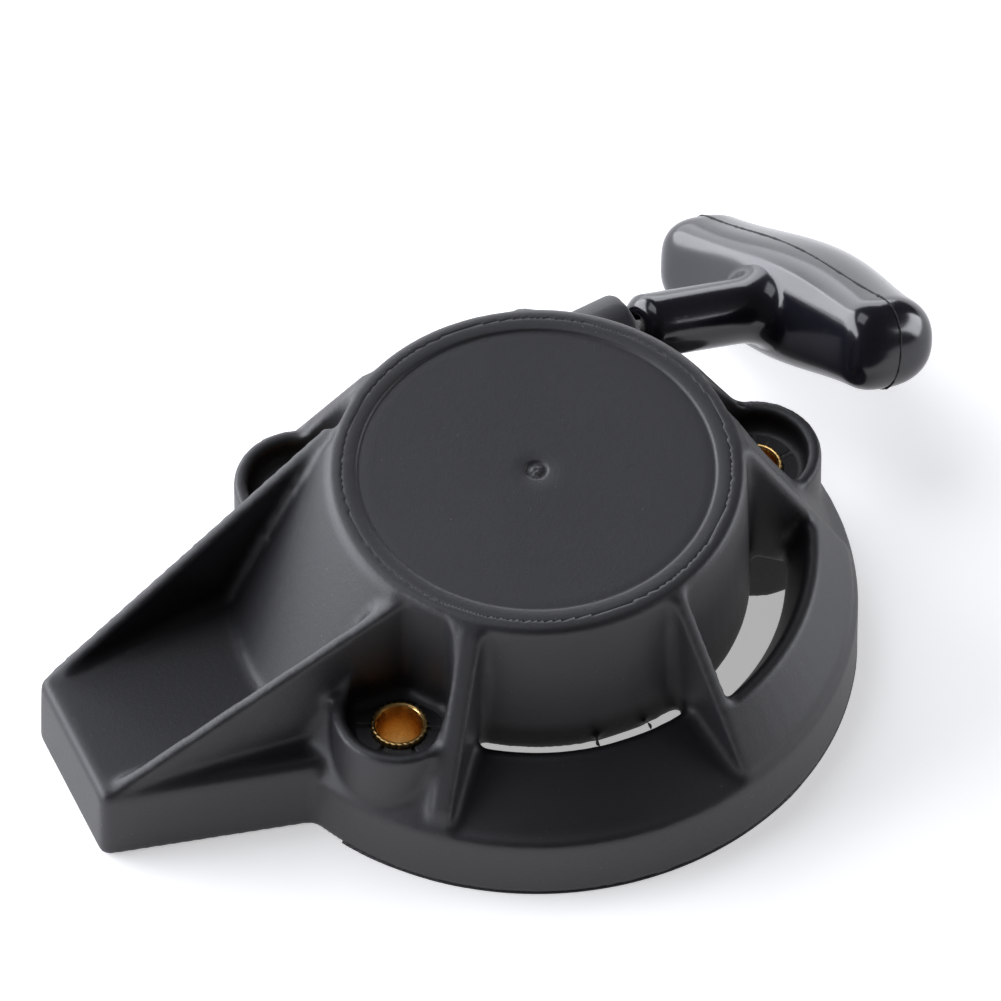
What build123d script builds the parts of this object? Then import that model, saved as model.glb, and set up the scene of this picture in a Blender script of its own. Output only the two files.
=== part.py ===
from build123d import *
import os
from math import atan2, cos, degrees, hypot, pi, radians, sin

# Recoil starter. Millimetres. Origin on the reel's axis in the plane of the rim that sits on
# the engine, +Z towards the closed top, the tongue points along -X.

# --- driving dimensions of the shell ---
WALL = 2.4
TOP_Z = 54.8
DRUM_R = 41.7
DRUM_FOOT_R = 42.8
DRUM_FOOT_Z = 19.0
DRUM_BORE_R = 39.4
DRUM_CORE_R = 40.3
EDGE_R = 1.5
SKIRT_R = 64.4
SKIRT_TOP = 15.4
CONE_FOOT_R = 61.0
DECK_Z = 18.4
LABEL_R = 35.8
LABEL_DEPTH = 0.4

# sectors of the shell around the drum, in degrees
TONGUE_SECTOR = (121.0, 229.6)
FRONT_VENT = (228.8, 289.4)
SIDE_VENT = (288.6, 346.4)
SPOUT_SECTOR = (-15.0, 71.4)
BACK_VENT = (70.6, 121.7)
RIBS = ((229.2, 4.4), (289.0, 3.0), (345.7, 3.0), (71.0, 3.0), (121.4, 3.0))

# --- screw ears ---
BOLT_R = 50.0
EARS = {"front": 214.0, "left": 137.5, "right": 6.0}
EAR_WALL_R = 13.4
POCKET_WALL_R = 12.9
WELL_R = 10.6
EAR_TOP = 30.7
WELL_FLOOR = 25.0
COLUMN_R = 8.4
BUSH_R = 5.7
BUSH_BORE = 4.6
BUSH_TOP = 26.3
KNURLS = 26
KNURL_DEPTH = 0.7
KNURL_WIDTH = 0.6

# --- tongue ---
TONGUE_END = 101.0
TONGUE_HALF = 17.0
TONGUE_SPREAD = 12.0
GUSSET = 2.8
GUSSET_RUNS = (((-98.6, -15.4), (-37.0, -18.4)), ((-97.6, 16.2), (-33.0, 27.0)))

# --- reel, spring and post ---
POST_R = 5.0
POST_FOOT = 20.8
SLEEVE_R = 6.5
SCREW_R = 2.4
SCREW_HOLE_R = 2.5
SCREW_DEPTH = 38.0
RUN_FIT = 0.05
HUB_R = 10.5
FLANGE_R = 37.2
GROOVE = (32.6, 40.6)
GROOVE_R = 24.5
REEL_TOP = 42.2
REEL_RIB = 1.8
REEL_RIB_TOP = 39.0
DISC_Z = 30.6
ROPE_R = 1.7
ROPE_TANGENT_R = 33.1
WINDING_R = 31.1
CASE_R = 36.5
CASE_FOOT = 42.7
SHEET = 0.8
SPRING_IN = 12.4
SPRING_OUT = 34.0
SPRING_TURNS = 10
STRIP = 0.6

# --- pawls and guide ---
PIVOT_R = 15.5
PIN_R = 2.0
PIN_TOP = 35.0
PAWL_Z = (26.4, 30.2)
PAWL_LENGTH = 13.0
PAWL_SWING = 38.0
PEG_ARM = 6.0
PEG_R = 1.2
GUIDE_Z = (22.4, 24.4)
GUIDE_SWING = 20.0
HOOK_ANGLE = 120.0
HOOK_R = 10.2
WIRE_R = 0.5
PAWL_ANGLES = {"a": 20.0, "b": 200.0}

# --- rope outlet and handle ---
ROPE_Z = (GROOVE[0] + GROOVE[1]) / 2 + 0.4
PULL_ANGLE = 8.5
OUTLET_REACH = 42.8
SPOUT_R = 8.3
SPOUT_LENGTH = 15.0
EYELET_LENGTH = 9.0
EYELET_BORE = 2.4
EYELET_R = 5.0
MOUTH_GAP = 1.0
HANDLE_TURN = 6.4
DROOP = 20.0
BAR_ROLL = 26.6
TIP_GAP = 0.8
STEM_R = 6.6
STEM_LENGTH = 29.5
BAR_HALF = 37.2
BAR_HALF_HEIGHT = 10.3
BAR_FRONT = 9.5
BAR_BACK = 11.3
BAR_BULGE = 6.1
SEAM = TIP_GAP + STEM_LENGTH + BAR_FRONT
KNOT_FLOOR = SEAM + 8.0
KNOT_WASHER = 1.2
KNOT_R = 3.6
RECESS_R = 7.0


def polar(radius, angle, z=0.0):
    return Vector(radius * cos(radians(angle)), radius * sin(radians(angle)), z)


def rod(radius, low, high):
    return Pos(0, 0, (low + high) / 2) * Cylinder(radius, high - low)


def tube(outer, inner, low, high):
    return rod(outer, low, high) - rod(inner, low - 1, high + 1)


def swept(points, start=0.0, end=360.0):
    """Turns a closed (radius, height) outline about the Z axis between two angles."""
    face = make_face(Polyline(*[(r, 0, z) for r, z in points], close=True))
    return revolve(Rot(0, 0, start) * face, Axis.Z, revolution_arc=end - start)


def drum_edge():
    centre = (DRUM_R - EDGE_R, TOP_Z - EDGE_R)
    steps = (0, pi / 8, pi / 4, 3 * pi / 8, pi / 2)
    return [(centre[0] + EDGE_R * sin(a), centre[1] + EDGE_R * cos(a)) for a in steps]


def drum():
    outline = [(0, TOP_Z)] + drum_edge() + [(DRUM_FOOT_R, DRUM_FOOT_Z), (DRUM_BORE_R, DRUM_FOOT_Z)]
    return swept(outline + [(DRUM_BORE_R, TOP_Z - WALL), (0, TOP_Z - WALL)])


def skirt():
    inner = SKIRT_R - WALL
    outline = [(inner, 0), (inner, SKIRT_TOP - 1.0), (inner + 1.0, SKIRT_TOP),
               (SKIRT_R - 0.4, SKIRT_TOP - 0.2), (SKIRT_R, SKIRT_TOP - 0.9), (SKIRT_R, 0)]
    return swept(outline)


def cone_sector(start, end):
    outline = [(DRUM_R - 1.6, TOP_Z - 0.4), (DRUM_R + 0.5, TOP_Z - 1.4), (CONE_FOOT_R, DECK_Z + 0.2),
               (CONE_FOOT_R + 2.2, SKIRT_TOP + 0.6), (SKIRT_R - 1.0, SKIRT_TOP - 1.2),
               (SKIRT_R - 1.6, SKIRT_TOP - 1.8), (CONE_FOOT_R - 1.8, DECK_Z - 1.8),
               (DRUM_R - 1.0, TOP_Z - 5.2)]
    return swept(outline, start, end)


def cone_core():
    """Everything under the middle of the cone's wall: inner pieces are trimmed to it."""
    return swept([(0, -1), (0, TOP_Z - 1.4), (DRUM_R - 0.9, TOP_Z - 2.6), (CONE_FOOT_R - 0.8, DECK_Z - 0.8),
                  (SKIRT_R - 1.3, SKIRT_TOP - 1.5), (SKIRT_R - 1.3, -1)])


def low_panel(start, end):
    outline = [(46.5, 20.6), (46.7, 23.2), (47.6, 24.0), (49.0, 23.8), (SKIRT_R - 1.2, SKIRT_TOP - 0.4),
               (SKIRT_R - 0.9, SKIRT_TOP - 1.4), (SKIRT_R - 1.6, SKIRT_TOP - 2.4), (49.0, 20.9)]
    return swept(outline, start, end)


def raised_ring(start, end):
    outline = [(49.6, 19.6), (50.0, 22.4), (53.6, 29.4), (54.9, 30.4), (56.5, 29.8), (63.2, 17.6),
               (SKIRT_R - 0.8, SKIRT_TOP - 0.6), (SKIRT_R - 1.4, SKIRT_TOP - 1.6), (61.4, 16.4), (55.5, 26.8),
               (54.7, 27.0), (52.0, 21.8), (51.6, 19.6)]
    return swept(outline, start, end)


def spoke(angle, thickness):
    """One radial rib from the drum's top edge out to the skirt."""
    outline = [(DRUM_R - 3.4, TOP_Z - 0.3), (DRUM_R - 0.6, TOP_Z - 0.5), (DRUM_R + 1.2, TOP_Z - 1.8),
               (CONE_FOOT_R + 1.2, DECK_Z + 1.0), (SKIRT_R - 0.9, SKIRT_TOP - 0.6),
               (SKIRT_R - 1.2, 9.0), (56.0, 14.0), (DRUM_CORE_R, 22.0)]
    face = make_face(Polyline(*[(r, 0, z) for r, z in outline], close=True))
    return Rot(0, 0, angle) * extrude(face, thickness / 2, dir=(0, 1, 0), both=True)


def tongue_outline(inset):
    half = TONGUE_HALF - inset
    end = TONGUE_END - inset
    root = half + (end - 40.0) * sin(radians(TONGUE_SPREAD))
    return [(-end, -half), (-40.0, -root), (-40.0, root), (-end, half)]


def tongue():
    outer = extrude(make_face(Polyline(*tongue_outline(0), close=True)), DECK_Z, taper=1.0)
    rim = outer.edges().filter_by(lambda e: e.center().X < -41 and e.center().Z > 2)
    outer = fillet(rim, 2.2)
    hollow = extrude(make_face(Polyline(*tongue_outline(WALL), close=True)), DECK_Z - WALL, taper=1.0)
    return outer - Pos(0, 0, -0.01) * hollow - rod(CONE_FOOT_R - 0.7, -1, TOP_Z)


def gusset(start, end):
    """A web that climbs from the tongue to the drum, and closes the side of the front well."""
    start = Vector(*start, 0)
    run = Vector(*end, 0) - start
    foot = DECK_Z - 1.2
    top = [(1.4, DECK_Z + 0.5), (run.length, TOP_Z - 2.0)]
    outline = [(0, foot), (0, DECK_Z - 0.5)] + top + [(run.length, foot)]
    along = run.normalized()
    plane = Plane(origin=start, x_dir=along, z_dir=along.cross(Vector(0, 0, 1)))
    blade = extrude(plane * make_face(Polyline(*outline, close=True)), GUSSET / 2, both=True)
    return blade - (cone_core() - well(EARS["front"]))


def ear_place(angle):
    return Rot(0, 0, angle) * Pos(BOLT_R, 0, 0)


def ear(angle):
    boss = rod(EAR_WALL_R, 0, EAR_TOP) - rod(EAR_WALL_R - WALL, -1, WELL_FLOOR - WALL)
    boss += rod(COLUMN_R, 0, WELL_FLOOR)
    pocket = (ear_place(angle) * rod(POCKET_WALL_R, WELL_FLOOR - 1, TOP_Z)) & cone_core()
    return ear_place(angle) * boss + pocket - rod(DRUM_CORE_R, -1, TOP_Z)


def well(angle):
    cut = rod(WELL_R, WELL_FLOOR, TOP_Z + 1)
    for i in range(6):
        groove = Pos((BUSH_R + WELL_R) / 2, 0, WELL_FLOOR) * Box(WELL_R - BUSH_R - 0.4, 0.7, 0.8)
        cut += Rot(0, 0, 60 * i + 30) * groove
    return ear_place(angle) * cut - rod(DRUM_R - 0.5, 0, TOP_Z + 2)


def outlet_plane():
    """Plane at the rope's way out: its Z is the straight pull direction."""
    along = polar(1, PULL_ANGLE)
    foot = polar(ROPE_TANGENT_R, PULL_ANGLE + 90, ROPE_Z)
    return Plane(origin=foot + along * OUTLET_REACH, x_dir=(0, 0, 1), z_dir=along)


def handle_plane():
    """Plane at the rope's way out with Z along the drooping stem and Y along the bar."""
    droop, roll = radians(DROOP), radians(BAR_ROLL)
    up = polar(sin(droop), HANDLE_TURN, cos(droop))
    along = polar(cos(droop), HANDLE_TURN, -sin(droop))
    across = along.cross(up)
    return Plane(origin=outlet_plane().origin, x_dir=up * cos(roll) - across * sin(roll), z_dir=along)


def spout():
    mouth = outlet_plane().offset(-MOUTH_GAP)
    return mouth * rod(SPOUT_R, -SPOUT_LENGTH, 0) - rod(DRUM_CORE_R, 0, TOP_Z - 1)


def rope_way():
    """The bore for eyelet and rope, and the seat cut for the hanging handle's stem."""
    mouth = outlet_plane().offset(-MOUTH_GAP)
    seat = handle_plane() * rod(STEM_R + 0.5, TIP_GAP - 0.4, 14)
    return mouth * rod(EYELET_R, -EYELET_LENGTH, 1) + mouth * rod(3.2, -OUTLET_REACH + 12, 0) + seat


def centre_post():
    post = rod(POST_R, POST_FOOT, TOP_Z - 1) + rod(HUB_R + 0.6, TOP_Z - WALL - 1.0, TOP_Z - 1)
    return post - rod(SCREW_HOLE_R, POST_FOOT - 1, SCREW_DEPTH)


def housing():
    shell = drum() + skirt()
    for sector in (TONGUE_SECTOR, SPOUT_SECTOR):
        shell += cone_sector(*sector)
    for sector in (FRONT_VENT, BACK_VENT):
        shell += low_panel(*sector)
    shell += raised_ring(*SIDE_VENT)
    for angle, thickness in RIBS:
        shell += spoke(angle, thickness)
    shell += tongue()
    for angle in EARS.values():
        shell += ear(angle)
    shell += spout()
    for angle in EARS.values():
        shell -= well(angle)
        shell -= ear_place(angle) * rod(BUSH_R, -1, TOP_Z)
    for start, end in GUSSET_RUNS:
        shell += gusset(start, end)
    shell -= rope_way()
    shell += centre_post()
    shell -= rod(LABEL_R, TOP_Z - LABEL_DEPTH, TOP_Z + 1)
    return shell


def bush(angle):
    body = tube(BUSH_R, BUSH_BORE, 0.6, WELL_FLOOR)
    collar = tube(BUSH_R, BUSH_BORE, WELL_FLOOR, BUSH_TOP)
    for i in range(KNURLS):
        notch = Box(KNURL_DEPTH, KNURL_WIDTH, BUSH_TOP - WELL_FLOOR)
        place = Pos(BUSH_R + 0.05, 0, (WELL_FLOOR + BUSH_TOP) / 2 + 0.3)
        collar -= Rot(0, 0, i * 360 / KNURLS) * place * notch
    return ear_place(angle) * (body + collar)


def spring_case():
    outline = [(HUB_R + 2.0, TOP_Z - WALL), (CASE_R - 1.0, TOP_Z - WALL), (CASE_R, TOP_Z - WALL - 1.0),
               (CASE_R, CASE_FOOT), (CASE_R - SHEET, CASE_FOOT), (CASE_R - SHEET, TOP_Z - WALL - SHEET),
               (HUB_R + 2.0, TOP_Z - WALL - SHEET)]
    return swept(outline)


def recoil_spring():
    """A flat spiral of half turns, each a little wider than the last."""
    pitch = (SPRING_OUT - SPRING_IN) / SPRING_TURNS / 2
    outer, inner = [], []
    for i in range(2 * SPRING_TURNS):
        side = 1 if i % 2 == 0 else -1
        start_r = SPRING_IN + i * pitch
        end_r = start_r + pitch
        for arcs, shift in ((outer, STRIP), (inner, 0)):
            a = (side * (start_r + shift), 0)
            b = (-side * (end_r + shift), 0)
            middle_x = (a[0] + b[0]) / 2
            arcs.append(ThreePointArc(a, (middle_x, side * (start_r + end_r + 2 * shift) / 2), b))
    wires = outer + inner
    first = Line(inner[0] @ 0, outer[0] @ 0)
    last = Line(inner[-1] @ 1, outer[-1] @ 1)
    face = make_face(Wire(wires + [first, last]))
    return Pos(0, 0, CASE_FOOT + 1.0) * extrude(face, 7.0, dir=(0, 0, 1))


def reel():
    groove_low, groove_high = GROOVE
    foot = GUIDE_Z[1] + 0.5
    outline = [(SLEEVE_R + RUN_FIT, foot), (HUB_R, foot), (HUB_R, DISC_Z), (FLANGE_R, DISC_Z),
               (FLANGE_R, groove_low - 0.8), (GROOVE_R, groove_low), (GROOVE_R, groove_high),
               (FLANGE_R, groove_high + 0.8), (FLANGE_R, REEL_TOP), (GROOVE_R - 2.2, REEL_TOP),
               (GROOVE_R - 2.2, groove_low), (HUB_R, groove_low), (HUB_R, 50.2), (SLEEVE_R + RUN_FIT, 50.2)]
    wheel = swept(outline)
    for i in range(6):
        rib = Box(GROOVE_R - HUB_R - 1.6, REEL_RIB, REEL_RIB_TOP - groove_low)
        place = Pos((HUB_R + GROOVE_R) / 2 - 1.0, 0, (groove_low + REEL_RIB_TOP) / 2)
        wheel += Rot(0, 0, 60 * i + 50) * place * rib
    for angle in PAWL_ANGLES.values():
        wheel += Rot(0, 0, angle) * Pos(PIVOT_R, 0, 0) * rod(3.6, groove_low - 0.5, 36.5)
        wheel -= Rot(0, 0, angle) * Pos(PIVOT_R, 0, 0) * rod(PIN_R, DISC_Z - 1, PIN_TOP)
    wheel -= Rot(0, 0, 200) * Pos(HUB_R, 0, 46.5) * Box(5.0, 1.2, 8.0)
    wheel -= Rot(0, 0, 140) * Pos(GROOVE_R - 1.0, 0, 36.6) * Rot(0, 90, 0) * Cylinder(2.0, 6.0)
    return wheel


def rope_winding():
    low, high = GROOVE[0] + 0.5, GROOVE[1] - 0.3
    root, corner = GROOVE_R + 0.05, 1.4
    outer = [(WINDING_R - corner, low), (WINDING_R - 0.4, low + 0.4), (WINDING_R, low + corner),
             (WINDING_R, high - corner), (WINDING_R - 0.4, high - 0.4), (WINDING_R - corner, high)]
    return swept([(root, low)] + outer + [(root, high)])


def rope_run():
    """Straight length from where the rope leaves the reel to the way out."""
    return outlet_plane() * rod(ROPE_R, -OUTLET_REACH, 0)


def reel_knot():
    return Rot(0, 0, 140) * Pos(GROOVE_R - 5.0, 0, 36.6) * Sphere(2.6)


def rope_eyelet():
    mouth = outlet_plane().offset(-MOUTH_GAP)
    outline = [(EYELET_R, -EYELET_LENGTH), (EYELET_R, -0.2), (4.2, 0), (3.4, -0.3), (EYELET_BORE + 0.2, -1.4),
               (EYELET_BORE, -2.6), (EYELET_BORE, -EYELET_LENGTH + 1.0), (EYELET_BORE + 0.6, -EYELET_LENGTH)]
    return mouth * swept(outline)


def pawl_place(angle):
    return Rot(0, 0, angle) * Pos(PIVOT_R, 0, 0)


def pawl(angle):
    """Curved dog that lies along the reel and swings out by its tip."""
    low, high = PAWL_Z
    tip = PAWL_LENGTH
    plan = make_hull(Circle(3.9).edges() + (Pos(-0.6, -7.0) * Circle(3.1)).edges())
    plan += make_face(Polyline((-3.3, -6.4), (-2.2, -tip - 0.6), (1.0, -tip), (2.4, -6.8), close=True))
    dog = extrude(plan, high - low, dir=(0, 0, 1))
    dog = Pos(0, 0, low) * dog - rod(PIN_R + RUN_FIT, 0, 50)
    peg = Pos(0, -PEG_ARM, 0) * rod(PEG_R, GUIDE_Z[0] - 0.2, low + 0.5)
    return pawl_place(angle) * (dog + peg)


def pawl_pin(angle):
    foot = GUIDE_Z[1] + 0.5
    return pawl_place(angle) * (rod(PIN_R, foot, PIN_TOP) + rod(PIN_R + 1.1, foot, foot + 0.5))


def pawl_spring(angle):
    return pawl_place(angle) * tube(3.0, PIN_R + 0.3, GUIDE_Z[1] + 1.1, PAWL_Z[0] - 0.1)


def peg_track():
    """Where the peg passes over the guide as the guide turns back and the pawl swings out."""
    track = []
    for i in range(6):
        share = i / 5
        swing = radians(PAWL_SWING * share)
        x, y = PIVOT_R + PEG_ARM * sin(swing), -PEG_ARM * cos(swing)
        track.append((hypot(x, y), degrees(atan2(y, x)) - GUIDE_SWING * share))
    return track


def ratchet_guide():
    low, high = GUIDE_Z
    track = peg_track()
    middle = track[3]
    plan = Circle(14.6)
    slots = Sketch()
    for angle in PAWL_ANGLES.values():
        at = polar(middle[0], angle + middle[1])
        plan += Pos(at.X, at.Y) * Circle(5.6)
        for (r0, a0), (r1, a1) in zip(track, track[1:]):
            ends = [polar(r0, angle + a0), polar(r1, angle + a1)]
            cut = make_hull([e for p in ends for e in (Pos(p.X, p.Y) * Circle(PEG_R + 0.45)).edges()])
            slots += cut
    plate = Pos(0, 0, low) * extrude(plan - slots, high - low, dir=(0, 0, 1))
    plate -= rod(SLEEVE_R + RUN_FIT, 0, 50)
    hook = Rot(0, 0, HOOK_ANGLE) * Pos(HOOK_R, 0, 0) * rod(0.7, 0, 50)
    return plate - hook


def friction_spring():
    height = GUIDE_Z[0] - 0.65
    middle = SLEEVE_R + RUN_FIT + WIRE_R
    ring = swept([(middle + WIRE_R * cos(i * pi / 6), height + WIRE_R * sin(i * pi / 6)) for i in range(12)],
                 HOOK_ANGLE, HOOK_ANGLE + 300)
    leg = Pos((middle + HOOK_R) / 2, 0, height) * Rot(0, 90, 0) * Cylinder(WIRE_R - 0.05, HOOK_R - middle)
    hook = Pos(HOOK_R, 0, 0) * rod(WIRE_R - 0.05, height - WIRE_R + 0.05, height + 1.8)
    return ring + Rot(0, 0, HOOK_ANGLE) * (leg + hook)


def centre_washer():
    return tube(11.0, SCREW_R + 0.3, POST_FOOT - 1.2, POST_FOOT)


def centre_screw():
    head_top = POST_FOOT - 1.2
    head = rod(4.8, head_top - 3.2, head_top)
    head = fillet(head.faces().sort_by(Axis.Z)[0].edges(), 1.4)
    cross = Pos(0, 0, head_top - 3.2) * (Box(4.6, 1.0, 3.0) + Box(1.0, 4.6, 3.0))
    return head + rod(SCREW_R, head_top - 0.5, SCREW_DEPTH - 1.0) - cross


def bar_section(half, half_height, depth):
    corner = half_height * 0.82
    return Pos(0, 0, depth) * RectangleRounded(2 * half_height, 2 * half, corner)


def handle_grip():
    """The bar in three lofts about its seam, the stem with its flare, the bore and the knot's recess."""
    half, height = BAR_HALF, BAR_HALF_HEIGHT
    front = loft([bar_section(half - 4.4, height - 3.4, SEAM - BAR_FRONT),
                  bar_section(half - 1.6, height - 1.0, SEAM - 0.7 * BAR_FRONT),
                  bar_section(half, height, SEAM)])
    back = loft([bar_section(half, height, SEAM),
                 bar_section(half - 0.8, height - 0.5, SEAM + 0.6 * BAR_BACK),
                 bar_section(half - 4.0, height - 2.8, SEAM + BAR_BACK)])
    bulge = loft([bar_section(half - 6.0, height - 0.9, SEAM + 0.6 * BAR_BACK),
                  bar_section(half - 12.0, height - 2.2, SEAM + BAR_BACK + 0.4 * BAR_BULGE),
                  bar_section(half - 22.0, height - 4.8, SEAM + BAR_BACK + BAR_BULGE)])
    stem = rod(STEM_R, TIP_GAP, SEAM)
    stem = chamfer(stem.edges().sort_by(Axis.Z)[0], 2.0)
    flare = Pos(0, 0, SEAM - BAR_FRONT - 1.0) * Cone(STEM_R, STEM_R + 3.4, 3.6)
    grip = front + back + bulge + stem + flare
    grip -= rod(ROPE_R + 0.2, 0, KNOT_FLOOR + 1)
    grip -= rod(RECESS_R, KNOT_FLOOR, SEAM + BAR_BACK + BAR_BULGE + 1)
    return handle_plane() * grip


def rope_tail():
    return handle_plane() * rod(ROPE_R, 0.6, KNOT_FLOOR + KNOT_WASHER + 0.2)


def knot_washer():
    return handle_plane() * tube(RECESS_R - 0.4, ROPE_R + 0.1, KNOT_FLOOR, KNOT_FLOOR + KNOT_WASHER)


def handle_knot():
    foot = KNOT_FLOOR + KNOT_WASHER + 0.2
    return handle_plane() * (Pos(0, 0, foot + 0.8 * KNOT_R) * Sphere(KNOT_R) - rod(10, SEAM, foot))


def write(name, solid):
    solid.label = name
    export_step(solid, f"parts/{name}.step")


def main():
    os.makedirs("parts", exist_ok=True)
    write("housing", housing())
    for side, angle in EARS.items():
        write(f"bush_{side}", bush(angle))
    for make in (spring_case, recoil_spring, reel, rope_winding, rope_run, reel_knot, rope_eyelet,
                 ratchet_guide, friction_spring, centre_washer, centre_screw,
                 handle_grip, rope_tail, knot_washer, handle_knot):
        write(make.__name__, make())
    write("post_sleeve", tube(SLEEVE_R, POST_R + 0.02, POST_FOOT, TOP_Z - WALL - 1.2))
    for letter, angle in PAWL_ANGLES.items():
        write(f"pawl_{letter}", pawl(angle))
        write(f"pawl_pin_{letter}", pawl_pin(angle))
        write(f"pawl_spring_{letter}", pawl_spring(angle))


main()
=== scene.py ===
"""Looks of a pull-rope recoil starter: black moulded housing, brass bushes, reel, pawls and T-handle."""
import logging
import math
from dataclasses import dataclass, field
from enum import Enum
from typing import Callable, Sequence

import bpy
from mathutils import Matrix, Vector, noise


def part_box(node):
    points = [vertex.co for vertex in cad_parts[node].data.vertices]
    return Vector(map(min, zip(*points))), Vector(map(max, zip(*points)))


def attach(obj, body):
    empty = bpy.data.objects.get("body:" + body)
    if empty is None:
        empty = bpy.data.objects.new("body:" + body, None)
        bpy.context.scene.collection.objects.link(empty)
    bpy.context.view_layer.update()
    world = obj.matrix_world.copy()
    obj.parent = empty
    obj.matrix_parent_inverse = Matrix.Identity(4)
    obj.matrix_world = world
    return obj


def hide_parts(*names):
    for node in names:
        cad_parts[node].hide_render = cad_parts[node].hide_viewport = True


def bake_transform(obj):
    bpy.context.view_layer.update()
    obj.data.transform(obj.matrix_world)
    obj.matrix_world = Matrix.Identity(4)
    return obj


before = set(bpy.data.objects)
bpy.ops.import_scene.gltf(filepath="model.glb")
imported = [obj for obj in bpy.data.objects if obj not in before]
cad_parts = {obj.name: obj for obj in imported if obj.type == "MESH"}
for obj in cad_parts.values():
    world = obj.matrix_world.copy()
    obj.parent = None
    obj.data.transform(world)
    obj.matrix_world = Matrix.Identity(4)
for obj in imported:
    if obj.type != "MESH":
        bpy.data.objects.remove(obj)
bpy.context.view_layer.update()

MM = 0.001
TAU = 2 * math.pi
log = logging.getLogger("recoil_starter")
Ring = list[Vector]
Colour = tuple[float, float, float, float]

WELD_GAP = 0.000005
WELL_CIRCLE = 50.0
WELL_ANGLES = {"front": 214.0, "left": 137.5, "right": 6.0}
PULL_ANGLE = 8.5


class Body(str, Enum):
    """The rigid bodies that pieces ride on."""

    HOUSING = "housing"
    REEL = "reel"
    GUIDE = "guide"
    ROPE_END = "rope_end"
    HANDLE = "handle"


# ---------------------------------------------------------------- shader maths

@dataclass
class Value:
    """A number-carrying socket that adds Math nodes when it is used in an expression."""

    bench: "Bench"
    socket: bpy.types.NodeSocket

    def _math(self, operation: str, *operands: "Value | float") -> "Value":
        """Returns the result of one Math node on the operands."""
        return self.bench.value("ShaderNodeMath", {"operation": operation}, dict(enumerate(operands)))

    def __add__(self, other: "Value | float") -> "Value":
        """self + other."""
        return self._math("ADD", self, other)

    def __radd__(self, other: "Value | float") -> "Value":
        """other + self."""
        return self._math("ADD", other, self)

    def __sub__(self, other: "Value | float") -> "Value":
        """self - other."""
        return self._math("SUBTRACT", self, other)

    def __rsub__(self, other: "Value | float") -> "Value":
        """other - self."""
        return self._math("SUBTRACT", other, self)

    def __mul__(self, other: "Value | float") -> "Value":
        """self * other."""
        return self._math("MULTIPLY", self, other)

    def __rmul__(self, other: "Value | float") -> "Value":
        """other * self."""
        return self._math("MULTIPLY", other, self)

    def ramp(self, low: float, high: float) -> "Value":
        """0 below low, 1 above high, smooth between them."""
        return self.bench.value("ShaderNodeMapRange", {"interpolation_type": "SMOOTHSTEP"},
                                {"Value": self, "From Min": low, "From Max": high})


class Bench:
    """One material's node tree, with the method that every node is made by."""

    def __init__(self, name: str) -> None:
        """Starts an empty material with a Principled shader."""
        self.material = bpy.data.materials.new(name)
        self.material.use_nodes = True
        self.tree = self.material.node_tree
        self.shader = self.tree.nodes["Principled BSDF"]

    def node(self, kind: str, settings: dict | None = None, inputs: dict | None = None) -> bpy.types.Node:
        """Adds a node.

        Args:
            kind: the node's type.
            settings: attributes set first; "stops" holds a colour ramp's (place, colour) pairs.
            inputs: socket name or number to a value, a Value or a socket.

        Returns:
            The node.
        """
        made = self.tree.nodes.new(kind)
        for key, setting in (settings or {}).items():
            if key == "stops":
                self._stops(made, setting)
            else:
                setattr(made, key, setting)
        for key, given in (inputs or {}).items():
            self.feed(made.inputs[key], given)
        return made

    def _stops(self, ramp: bpy.types.Node, stops: Sequence[tuple]) -> None:
        """Gives a colour ramp its stops."""
        elements = ramp.color_ramp.elements
        while len(elements) < len(stops):
            elements.new(1.0)
        for element, (place, colour) in zip(elements, stops):
            element.position = place
            element.color = colour

    def feed(self, socket: bpy.types.NodeSocket, given: object) -> None:
        """Links or sets one input socket."""
        if isinstance(given, Value):
            given = given.socket
        if isinstance(given, bpy.types.NodeSocket):
            self.tree.links.new(given, socket)
        else:
            socket.default_value = given

    def value(self, kind: str, settings: dict | None = None, inputs: dict | None = None) -> Value:
        """Adds a node and returns its first output as a Value."""
        return Value(self, self.node(kind, settings, inputs).outputs[0])

    def place(self) -> bpy.types.NodeSocket:
        """The point on the piece, in metres."""
        return self.node("ShaderNodeTexCoord").outputs["Object"]

    def noise(self, scale: float, detail: float = 2.0, rough: float = 0.5, at: object = None) -> Value:
        """Noise of so many cells per metre."""
        inputs = {"Vector": at or self.place(), "Scale": scale, "Detail": detail, "Roughness": rough}
        return self.value("ShaderNodeTexNoise", None, inputs)

    def cells(self, scale: float) -> Value:
        """Distance to the nearest of so many scattered points per metre."""
        return self.value("ShaderNodeTexVoronoi", None, {"Vector": self.place(), "Scale": scale})

    def edge(self, low: float = 0.515, high: float = 0.60) -> Value:
        """0 on flat ground, rising to 1 where the surface is sharply convex."""
        return Value(self, self.node("ShaderNodeNewGeometry").outputs["Pointiness"]).ramp(low, high)

    def blend(self, share: object, first: object, second: object) -> bpy.types.NodeSocket:
        """A colour between two colours."""
        mix = self.node("ShaderNodeMix", {"data_type": "RGBA"})
        for socket, given in ((mix.inputs[0], share), (mix.inputs[6], first), (mix.inputs[7], second)):
            self.feed(socket, given)
        return mix.outputs[2]

    def bump(self, height: Value, distance: float, strength: float = 1.0,
             normal: object = None) -> bpy.types.NodeSocket:
        """A normal from a height in units of distance."""
        inputs = {"Height": height, "Distance": distance, "Strength": strength}
        if normal is not None:
            inputs["Normal"] = normal
        return self.node("ShaderNodeBump", None, inputs).outputs[0]

    def finish(self, **sockets: object) -> bpy.types.Material:
        """Sets the shader's sockets, named with underscores for spaces, and returns the material."""
        for key, given in sockets.items():
            self.feed(self.shader.inputs[key.replace("_", " ")], given)
        return self.material


def colour(red: float, green: float, blue: float) -> Colour:
    """A linear colour with full alpha."""
    return (red, green, blue, 1.0)


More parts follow.
